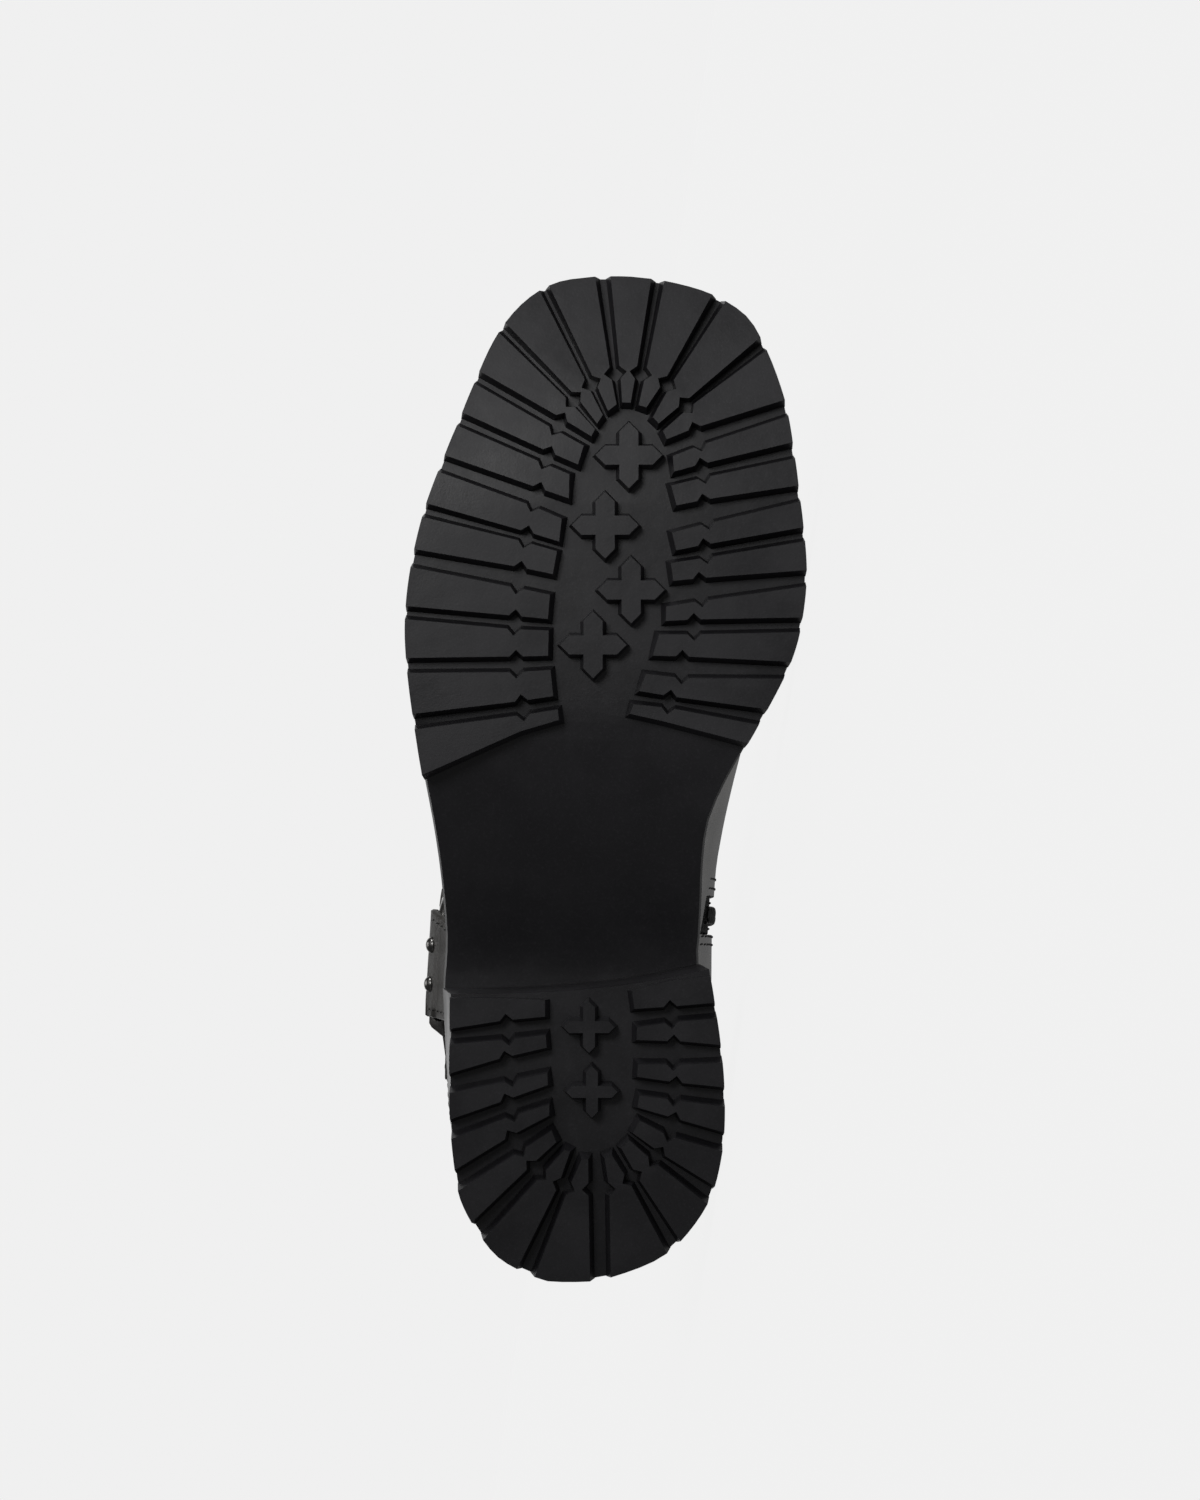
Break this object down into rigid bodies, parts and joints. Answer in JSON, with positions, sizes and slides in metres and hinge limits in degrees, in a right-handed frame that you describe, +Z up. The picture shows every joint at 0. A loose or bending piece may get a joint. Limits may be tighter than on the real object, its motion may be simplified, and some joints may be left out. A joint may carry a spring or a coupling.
{
  "type": "motorcycle boot",
  "caption": "Harness ankle boot for the right foot: lugged rubber sole and heel, hollow leather upper, inner side zip, ring with straps on the outer ankle.",
  "frame": {"origin": "bottom centre of the bounding box of the boot as it lies on its inner side", "axes": "+X towards the toe, +Y from the tread up the shaft, +Z up from the floor, which is towards the outer side of the boot"},
  "size_m": [0.2762, 0.2002, 0.108],
  "materials": {
    "outsole": "satin moulded rubber",
    "heel": "satin moulded rubber",
    "insole": "textile covered board",
    "upper": "smooth black leather",
    "zip_tape": "woven tape",
    "zip_chain": "dark coated coil",
    "zip_slider": "gunmetal",
    "zip_pull": "gunmetal",
    "harness_ring": "polished nickel",
    "stay_strap": "smooth leather",
    "front_strap": "smooth leather",
    "rear_strap": "smooth leather",
    "stud_front": "polished nickel",
    "stud_rear": "polished nickel"
  },
  "bodies": {
    "root": {"outsole": "outsole", "heel": "heel", "insole": "insole", "upper": "upper", "zip_tape": "zip_tape", "zip_chain": "zip_chain", "zip_slider": "zip_slider", "stay_strap": "stay_strap", "front_strap": "front_strap", "rear_strap": "rear_strap", "stud_front": "stud_front", "stud_rear": "stud_rear"},
    "ring": {"harness_ring": "harness_ring"},
    "pull": {"zip_pull": "zip_pull"}
  },
  "joints": [
    {"name": "ring_turn", "type": "hinge", "parent": "root", "child": "ring", "pos_m": [-0.06102, -0.01364, 0.08594], "axis": [-0.085, 0.0598, 0.9946], "continuous": true},
    {"name": "zip_pull", "type": "hinge", "parent": "root", "child": "pull", "pos_m": [-0.04263, 0.08592, 0.00957], "axis": [0.8169, 0.1322, 0.5614], "range_deg": [-6, 140]}
  ]
}
